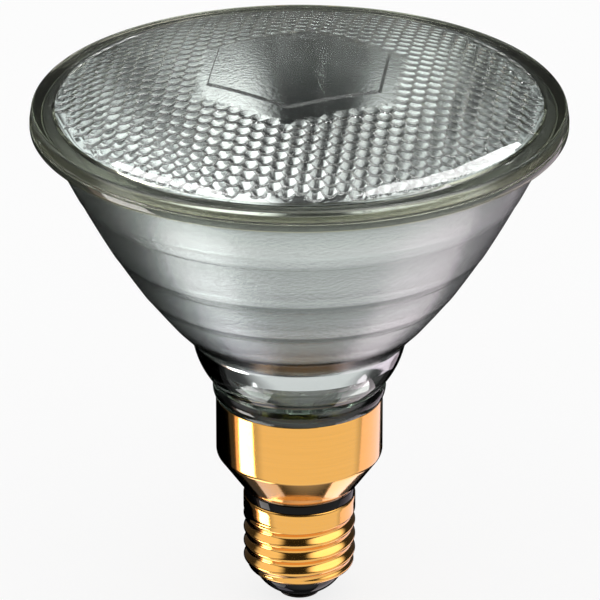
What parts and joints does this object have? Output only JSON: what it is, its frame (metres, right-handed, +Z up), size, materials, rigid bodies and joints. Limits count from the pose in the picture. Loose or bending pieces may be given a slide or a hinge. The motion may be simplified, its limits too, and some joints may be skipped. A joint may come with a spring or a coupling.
{
  "type": "par spotlight bulb",
  "caption": "Pressed glass reflector spotlight bulb with a patterned lens, stepped mirrored bowl, brass skirt and 27 mm screw cap.",
  "frame": {"origin": "middle of the centre contact's flat end, on the lamp's axis", "axes": "+Z up the lamp's axis from the cap to the lens, -Y the front that the picture shows, +X to its right"},
  "size_m": [0.122, 0.122, 0.134],
  "materials": {
    "lens_glass": "clear pressed glass, pebbled with lenticules inside",
    "reflector_glass": "clear pressed glass with a vacuum-coated aluminium mirror inside the bowl",
    "nickel_iron": "drawn nickel-iron, satin",
    "tungsten": "drawn tungsten wire, dark grey",
    "bridge_glass": "drawn clear glass rod",
    "brass": "bright drawn brass, lacquered",
    "cement": "fired capping cement, matt",
    "black_glass": "moulded black insulating glass, glossy",
    "solder": "tin solder, smooth",
    "lead_copper": "copper-clad nickel-iron wire"
  },
  "bodies": {
    "root": {"lens": "lens_glass", "reflector": "reflector_glass", "exhaust_tube": "reflector_glass", "ferrule_left": "nickel_iron", "ferrule_right": "nickel_iron", "filament": "tungsten", "lead_post_left": "nickel_iron", "lead_post_right": "nickel_iron", "filament_clamp_left": "nickel_iron", "filament_clamp_right": "nickel_iron", "support_bridge": "bridge_glass", "anchor_wire": "tungsten", "skirt": "brass", "cement_ring": "cement", "screw_shell": "brass", "skirt_insulator": "black_glass", "contact_insulator": "black_glass", "centre_contact": "brass", "contact_solder": "solder", "fuse": "bridge_glass", "contact_lead_upper": "lead_copper", "contact_lead_lower": "lead_copper", "shell_lead": "lead_copper", "shell_solder": "solder"}
  },
  "joints": []
}
